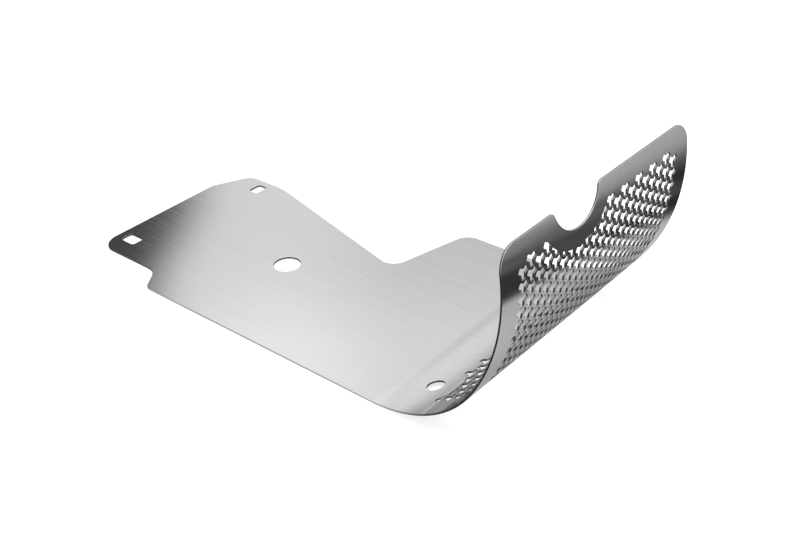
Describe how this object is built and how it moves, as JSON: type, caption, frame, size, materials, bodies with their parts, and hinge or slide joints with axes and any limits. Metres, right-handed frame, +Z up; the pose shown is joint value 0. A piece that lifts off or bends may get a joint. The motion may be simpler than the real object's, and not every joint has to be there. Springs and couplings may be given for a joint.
{
  "type": "motorcycle skid plate",
  "caption": "Motorcycle skid plate folded from one steel sheet: a flat pan with an offset tail runs into a tall rolled front with three-armed perforations and a notched top edge.",
  "frame": {"origin": "on the underside, at mid-width and half the overall length", "axes": "+X forward to the rolled front, +Y to the machine's left, +Z up"},
  "size_m": [0.4354, 0.214, 0.1579],
  "materials": {
    "steel": "brushed"
  },
  "bodies": {
    "root": {"skid_plate": "steel"}
  },
  "joints": []
}
